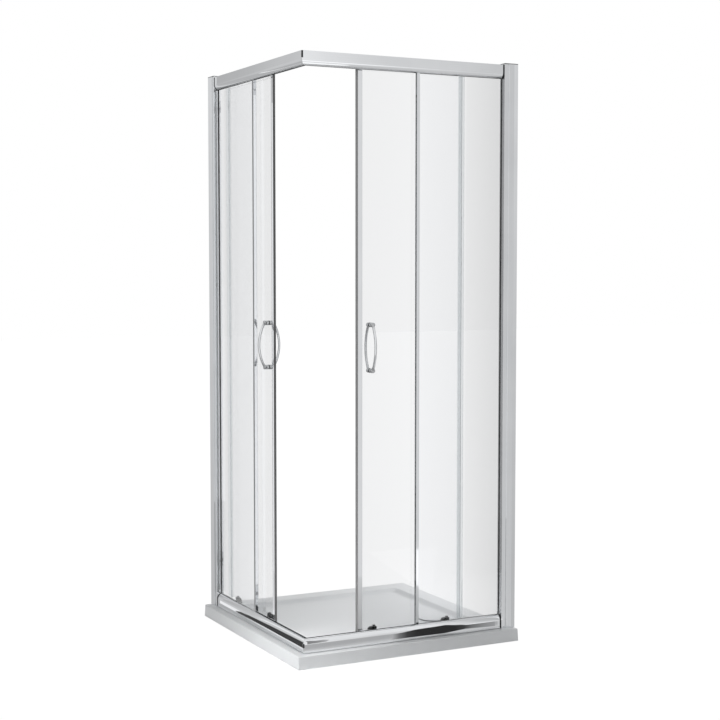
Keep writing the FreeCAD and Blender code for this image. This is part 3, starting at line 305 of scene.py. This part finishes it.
def clear_seal(side, tone, bend):
    """Soft see-through plastic, cloudy in long streaks."""
    material, tree, surface = new_look(f"clear_seal_{side}", Transmission_Weight=0.95, IOR=bend)
    streaks = grain(tree, (500, 500, 4), detail=3)
    finish_look(
        tree,
        surface,
        Base_Color=ramp(tree, streaks, [(0.3, bluish(tone - 0.04)), (0.7, bluish(tone))]),
        Roughness=spread(tree, streaks, 0.12, 0.2),
        Normal=bump(tree, streaks, 0.000005),
    )
    return material


def moulded(name, dark, light, gloss):
    """Moulded plastic with a fine spark-eroded grain."""
    material, tree, surface = new_look(name, IOR=1.49)
    cloud = grain(tree, even(120), detail=3)
    fine = grain(tree, even(3200), detail=2)
    finish_look(
        tree,
        surface,
        Base_Color=ramp(tree, cloud, [(0.3, dark), (0.7, light)]),
        Roughness=spread(tree, fine, gloss, gloss + 0.18),
        Normal=bump(tree, fine, 0.00003, softened(tree, 0.0004)),
    )
    return material


def steel(name, turns):
    material, tree, surface = new_look(name, Metallic=1.0)
    lines = grain(tree, even(turns), detail=4)
    finish_look(
        tree,
        surface,
        Base_Color=ramp(tree, lines, [(0.3, (0.5, 0.5, 0.51)), (0.7, (0.62, 0.62, 0.63))]),
        Roughness=spread(tree, lines, 0.22, 0.38),
        Normal=bump(tree, lines, 0.00001, softened(tree, 0.0002)),
    )
    return material


def grey(level):
    return (level, level * 1.004, level * 1.01)


def bluish(level):
    return (level * 0.97, level * 0.99, level)


def dress(material, *names):
    for name in names:
        slots = nodes[name].data.materials
        for i in range(len(slots)):
            slots[i] = material


def on_sides(*stems):
    return [f"{stem}_{side}" for stem in stems for side in SIDES]


def on_ends(*stems):
    return [f"{stem}_{end}_{side}" for stem in stems for end in ENDS for side in SIDES]


def dress_all():
    dress(tray_resin(), "shower_tray", "waste_cover")
    dress(drawn_metal(0), "bottom_rail_right", "top_rail_right")
    dress(drawn_metal(1), "bottom_rail_left", "top_rail_left")
    upright = on_sides("wall_profile", "wall_jamb", "door_edge_profile")
    dress(drawn_metal(2), *upright)
    dress(edge_strip(), "fixed_edge_strips")
    dress(chrome(), "waste_flange")
    dress(handle_chrome(), *on_sides("outer_handle", "inner_handle"))
    # Glass tints along each pane: a grey glass tint, graded as painted shade.
    fixed = [(0.406, grey(0.995)), (0.57, grey(0.918)), (0.59, grey(0.803)), (0.73, grey(0.689))]
    dress(side_glass("fixed_glass_right", "right", fixed), "fixed_glass_right")
    fixed = [(0.406, grey(0.985)), (0.6, grey(0.965)), (0.62, grey(0.83)), (0.73, grey(0.82))]
    dress(side_glass("fixed_glass_left", "left", fixed), "fixed_glass_left")
    door = [(0.2, grey(0.871)), (0.58, grey(0.928))]
    dress(side_glass("door_glass_right", "right", door), "door_glass_right")
    door = [(0.28, grey(0.87)), (0.43, grey(0.885)), (0.46, grey(0.98)), (0.66, grey(0.98))]
    dress(side_glass("door_glass_left", "left", door), "door_glass_left")
    gasket = rubber("grey_rubber", (0.1, 0.105, 0.11), (0.14, 0.145, 0.15))
    dress(gasket, "sill_seals", "door_stops", *on_sides("handle_washers"))
    dress(gasket_rubber(), "glazing_gaskets")
    # Painted light: the right magnet rubber is a lighter copy of the same rubber as the left.
    dress(rubber("magnet_rubber_right_painted_light", grey(0.45), grey(0.52)), "magnet_seal_right")
    dress(rubber("magnet_rubber_left", grey(0.15), grey(0.18)), "magnet_seal_left")
    dress(clear_seal("right", 0.92, 1.1), "trailing_seal_right")
    dress(clear_seal("left", 1.0, 1.03), "trailing_seal_left")
    black = moulded("black_plastic", (0.012, 0.012, 0.013), (0.022, 0.022, 0.024), 0.32)
    dress(black, "corner_brackets", "rail_end_caps", *on_sides("top_hangers", "roller_housings"))
    dress(black, *on_sides("roller_bolts"), *on_ends("release_slider"))
    dress(moulded("cap_plastic", (0.17, 0.175, 0.18), (0.22, 0.225, 0.23), 0.4), "profile_caps")
    acetal = moulded("wheel_acetal", (0.7, 0.7, 0.68), (0.78, 0.78, 0.76), 0.3)
    dress(acetal, *on_ends("top_wheel", "bottom_wheel"))
    dress(steel("zinc_steel", 240), "frame_screws", *on_sides("handle_studs"))
    dress(steel("spring_steel", 900), *on_ends("release_spring"))


# Pieces
def closing_spring(end, side):
    """The spring over a lower roller, copied as a piece of its own that rides with the door."""
    node, joint = f"release_spring_{end}_{side}", f"release_{end}_{side}_lift"
    spring = bpy.data.objects.new(f"closing_spring_{end}_{side}", nodes[node].data.copy())
    scene.collection.objects.link(spring)
    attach(spring, f"door_{side}")
    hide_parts(node)
    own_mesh(spring)


# Stage
# Grey levels that polished metal mirrors, by compass direction in degrees from +X toward +Y
LEVEL_GREYS = [
    (-180, 0.5), (-150, 0.8), (-135, 1.0), (-115, 1.05), (-95, 0.95), (-82, 0.6), (-75, 0.5),
    (-72, 0.7), (-69.4, 1.2), (-67.6, 1.1), (-65.8, 1.0), (-64, 0.85), (-62, 0.75), (-58.5, 0.72),
    (-57, 0.62), (-50, 0.65), (-38, 0.5), (-26, 0.34), (8, 0.36), (30, 0.55), (55, 0.8), (70, 0.9),
    (95, 0.62), (108, 0.56), (111, 0.5), (113, 0.56), (115, 0.7), (118, 0.6), (124, 0.36),
    (155, 0.34), (180, 0.5),
]
STEEP_GREYS = [
    (-180, 0.4), (-100, 0.38), (-78, 0.42), (-66, 1.2), (-60, 1.2), (-58, 0.8), (-52, 0.7),
    (-45, 0.66), (-20, 0.62), (0, 0.6), (25, 0.55), (45, 0.5), (66, 0.5), (97, 0.5), (112, 0.52),
    (120, 0.46), (135, 0.38), (180, 0.4),
]
HIGH_GREY = 0.92
# Slopes of sight, as the rise of a direction of length 1, between which the greys change over
STEEP_END, LEVEL_START = -0.36, -0.26
LEVEL_END, HIGH_START = 0.2, 0.4
EVEN_LIGHT = 0.44
WHITE = (1, 1, 1, 1)


def compass(tree, parts, stops):
    """A grey for each direction around the object."""
    turn = maths(tree, "ARCTAN2", parts.outputs[1], parts.outputs[0])
    share = spread(tree, turn, 0.0, 1.0, -math.pi, math.pi)
    return ramp(tree, share, [(degrees / 360 + 0.5, grey(level)) for degrees, level in stops])


def past_metal(tree, path):
    """1 for light that the eye sees by way of a reflection, through glass or not."""
    mirrored = maths(tree, "MINIMUM", path.outputs["Glossy Depth"], 1.0)
    plain = maths(tree, "SUBTRACT", 1.0, path.outputs["Is Diffuse Ray"])
    return maths(tree, "MULTIPLY", mirrored, plain)


def seen(tree, path):
    """1 for what the eye sees straight on or through glass."""
    direct = maths(tree, "MAXIMUM", path.outputs["Is Camera Ray"], path.outputs["Is Transmission Ray"])
    lighting = maths(tree, "MINIMUM", path.outputs["Diffuse Depth"], 1.0)
    return maths(tree, "MULTIPLY", direct, maths(tree, "SUBTRACT", 1.0, lighting))


def surround():
    """White to the eye and through glass, studio greys in reflections, plain even light for the rest."""
    world = bpy.data.worlds.new("surround")
    scene.world = world
    world.use_nodes = True
    tree = world.node_tree
    way = add(tree, "ShaderNodeTexCoord").outputs["Generated"]
    parts = add(tree, "ShaderNodeSeparateXYZ", {"Vector": way})
    rise = parts.outputs[2]
    below = spread(tree, rise, 0.0, 1.0, STEEP_END, LEVEL_START)
    above = spread(tree, rise, 0.0, 1.0, LEVEL_END, HIGH_START)
    mirrored = blend(tree, below, compass(tree, parts, STEEP_GREYS), compass(tree, parts, LEVEL_GREYS))
    mirrored = blend(tree, above, mirrored, (*grey(HIGH_GREY), 1))
    path = add(tree, "ShaderNodeLightPath")
    glossy = add(tree, "ShaderNodeBackground", {"Color": mirrored, "Strength": 1.0})
    white = add(tree, "ShaderNodeBackground", {"Color": WHITE, "Strength": 1.0})
    even_light = add(tree, "ShaderNodeBackground", {"Color": WHITE, "Strength": EVEN_LIGHT})
    shaders = {0: seen(tree, path), 1: even_light.outputs[0], 2: white.outputs[0]}
    plain = add(tree, "ShaderNodeMixShader", shaders)
    shaders = {0: past_metal(tree, path), 1: plain.outputs[0], 2: glossy.outputs[0]}
    shown = add(tree, "ShaderNodeMixShader", shaders)
    tree.links.new(shown.outputs[0], tree.nodes["World Output"].inputs["Surface"])


def sheet(name, points):
    """A flat stage piece with the outline given."""
    mesh = bpy.data.meshes.new(name)
    mesh.from_pydata(points, [], [range(len(points))])
    made = bpy.data.objects.new(name, mesh)
    scene.collection.objects.link(made)
    return made


def lying(height, points):
    return [(x, y, height) for x, y in points]


def facing_front(place, points):
    return [(x, place, z) for x, z in points]


def facing_side(place, points):
    return [(place, y, z) for y, z in points]


def pale_floor():
    """White to the eye and through glass, where it keeps the shadow; metal mirrors the surround instead."""
    reach, shadow_grey, glow = 20, 0.06, 0.975
    square = [(-reach, -reach), (reach, -reach), (reach, reach), (-reach, reach)]
    floor = sheet("floor", lying(0, square))
    material, tree, surface = new_look("pale_floor", Roughness=0.9, Specular_IOR_Level=0.1)
    path = add(tree, "ShaderNodeLightPath")
    pale = ramp(tree, grain(tree, even(1.5)), [(0.3, grey(0.79)), (0.7, grey(0.81))])
    direct = seen(tree, path)
    tone = blend(tree, direct, pale, (*grey(shadow_grey), 1))
    lift = maths(tree, "MULTIPLY", direct, glow)
    finish_look(tree, surface, Base_Color=tone, Emission_Strength=lift)
    surface.inputs["Emission Color"].default_value = WHITE
    beyond = add(tree, "ShaderNodeBsdfTransparent")
    shaders = {0: past_metal(tree, path), 1: surface.outputs[0], 2: beyond.outputs[0]}
    mixed = add(tree, "ShaderNodeMixShader", shaders)
    tree.links.new(mixed.outputs[0], tree.nodes["Material Output"].inputs["Surface"])
    floor.data.materials.append(material)
    floor.visible_glossy = False


def mirrored_card(name, points, way, stops):
    """A sheet that only reflections show, glowing in greys set by the place along one direction."""
    card = sheet(name, points)
    material, tree, surface = new_look(name, Roughness=1.0, Specular_IOR_Level=0.0)
    surface.inputs["Base Color"].default_value = (0, 0, 0, 1)
    surface.inputs["Emission Strength"].default_value = 1.0
    along = add(tree, "ShaderNodeVectorMath", {0: here(tree), 1: way}, operation="DOT_PRODUCT")
    low, high = stops[0][0], stops[-1][0]
    place = spread(tree, along.outputs["Value"], 0.0, 1.0, low, high)
    greys = ramp(tree, place, [((at - low) / (high - low), grey(level)) for at, level in stops])
    finish_look(tree, surface, Emission_Color=greys)
    card.data.materials.append(material)
    card.visible_camera = False
    card.visible_diffuse = False
    card.visible_transmission = False
    card.visible_shadow = False


ALONG_X = (1, 0, 0)
ALONG_Y = (0, 1, 0)
UPWARD = (0, 0, 1)
# Places of the stage sheets, in metres
ON_FLOOR, OVER_FLOOR = 0.002, 0.003
BEFORE_RAIL = -0.395
BESIDE_DOOR = -0.5
BEHIND_POST = 0.403


def wall_cards():
    """What the backs of the posts mirror: the wall that each of them is screwed to."""
    wall = [(-0.4, 0.0), (-0.3, 0.0), (-0.3, 1.9), (-0.4, 1.9)]
    greys = [(0.0, 0.55), (1.9, 0.75)]
    mirrored_card("right_wall", facing_side(BEHIND_POST, wall), UPWARD, greys)
    mirrored_card("left_wall", facing_front(BEHIND_POST, wall), UPWARD, greys)


def graded_floor():
    """The floor that the rails mirror, graded away from each side, with a bright sheet on it."""
    front = [(-0.45, -1.4), (1.0, -1.4), (0.36, -0.41), (-0.45, -0.41)]
    greys = [(-1.4, 0.7), (-0.9, 0.55), (-0.66, 0.48), (-0.56, 0.48), (-0.545, 0.55)]
    greys += [(-0.53, 0.7), (-0.41, 0.8)]
    mirrored_card("front_card", lying(ON_FLOOR, front), ALONG_Y, greys)
    side = [(-1.4, -0.45), (-0.41, -0.45), (-0.41, 0.62), (-1.4, 0.62)]
    greys = [(-1.4, 0.5), (-0.62, 0.42), (-0.56, 0.5), (-0.53, 0.9), (-0.41, 1.1)]
    mirrored_card("side_card", lying(ON_FLOOR, side), ALONG_X, greys)
    bright = [(0.36, -0.6), (0.5, -0.6), (0.56, -0.72), (0.72, -0.98), (0.95, -1.83)]
    bright += [(0.64, -1.83), (0.46, -0.98)]
    mirrored_card("front_bright", lying(OVER_FLOOR, bright), ALONG_X, [(0.3, 1.2), (0.95, 1.2)])


def rail_darks():
    """The low dark shapes that the bottom rails mirror."""
    low = [(-0.045, 0.042), (0.15, 0.041), (0.23, 0.047), (0.342, 0.043)]
    high = [(0.342, 0.061), (0.265, 0.06), (0.226, 0.0645), (0.188, 0.0747), (0.155, 0.091)]
    high += [(0.115, 0.0855), (0.04, 0.08), (0.001, 0.068), (-0.045, 0.059)]
    greys = [(-0.045, 0.5), (-0.02, 0.2), (0.01, 0.06), (0.05, 0.03), (0.19, 0.03)]
    greys += [(0.225, 0.06), (0.25, 0.18), (0.3, 0.3), (0.342, 0.38)]
    mirrored_card("front_dark", facing_front(BEFORE_RAIL, low + high), ALONG_X, greys)
    corner = [(-0.345, 0.07), (-0.28, 0.073), (-0.265, 0.09), (-0.28, 0.105)]
    corner += [(-0.31, 0.105), (-0.335, 0.13)]
    greys = [(-0.345, 0.25), (-0.3, 0.35), (-0.265, 0.6)]
    mirrored_card("corner_dark", facing_front(BEFORE_RAIL, corner), ALONG_X, greys)
    dark = [(-0.32, 0.043), (0.0, 0.043), (0.22, 0.041), (0.25, 0.043), (0.2, 0.05), (0.11, 0.061)]
    dark += [(0.02, 0.069), (-0.06, 0.075), (-0.2, 0.082), (-0.29, 0.087), (-0.32, 0.088)]
    greys = [(-0.32, 0.06), (0.1, 0.06), (0.25, 0.12)]
    mirrored_card("side_dark", facing_side(BEFORE_RAIL, dark), ALONG_Y, greys)


def upright_cards():
    """What the left door's edge and the feet of the posts mirror."""
    tall = [(0.24, 0.12), (0.285, 0.12), (0.285, 1.8), (0.24, 1.8)]
    mirrored_card("side_bright", facing_side(BESIDE_DOOR, tall), ALONG_Y, [(0.24, 1.05), (0.285, 1.05)])
    end = [(0.1, 0.1), (0.2, 0.09), (0.36, 0.07), (0.36, 0.4), (0.16, 0.4)]
    greys = [(0.1, 0.92), (0.2, 0.8), (0.28, 0.6), (0.36, 0.55)]
    mirrored_card("front_end", facing_front(BEFORE_RAIL, end), ALONG_X, greys)
    end = [(0.0, 0.09), (0.1, 0.08), (0.36, 0.07), (0.36, 0.4), (0.1, 0.4)]
    greys = [(0.0, 0.9), (0.1, 0.62), (0.36, 0.52)]
    mirrored_card("side_end", facing_side(BEFORE_RAIL, end), ALONG_Y, greys)


def soft_lamp(name, place, target, size, power, beam):
    data = bpy.data.lights.new(name, "AREA")
    data.size = size
    data.spread = math.radians(beam)
    data.energy = power
    lamp = bpy.data.objects.new(name, data)
    lamp.location = place
    lamp.rotation_euler = (Vector(target) - Vector(place)).to_track_quat("-Z", "Y").to_euler()
    lamp.visible_camera = False
    lamp.visible_glossy = False
    lamp.visible_transmission = False
    scene.collection.objects.link(lamp)


def studio():
    surround()
    pale_floor()
    graded_floor()
    rail_darks()
    upright_cards()
    wall_cards()
    soft_lamp("key", (-0.85, -0.48, 0.85), (-0.42, -0.28, 0.03), size=0.5, power=0.9, beam=60)
    soft_lamp("fill", (0.72, 0.15, 0.45), (0.1, 0.0, 0), size=0.7, power=3, beam=180)


EYE_PLACE = (-2.2433, -4.4358, 1.2349)
EYE_DIP = 3.64
EYE_TURN = -26.98
SENSOR_WIDTH = 36
FOCAL_LENGTH = 73.53


def eye():
    """The camera at the photograph's angle: its dip and turn are in degrees, its lens in millimetres."""
    data = bpy.data.cameras.new("eye")
    data.sensor_width = SENSOR_WIDTH
    data.lens = FOCAL_LENGTH
    camera = bpy.data.objects.new("eye", data)
    camera.location = EYE_PLACE
    camera.rotation_euler = (math.radians(90 - EYE_DIP), 0, math.radians(EYE_TURN))
    scene.collection.objects.link(camera)
    scene.camera = camera


dress_all()
for side in SIDES:
    for end in ENDS:
        closing_spring(end, side)
studio()
eye()
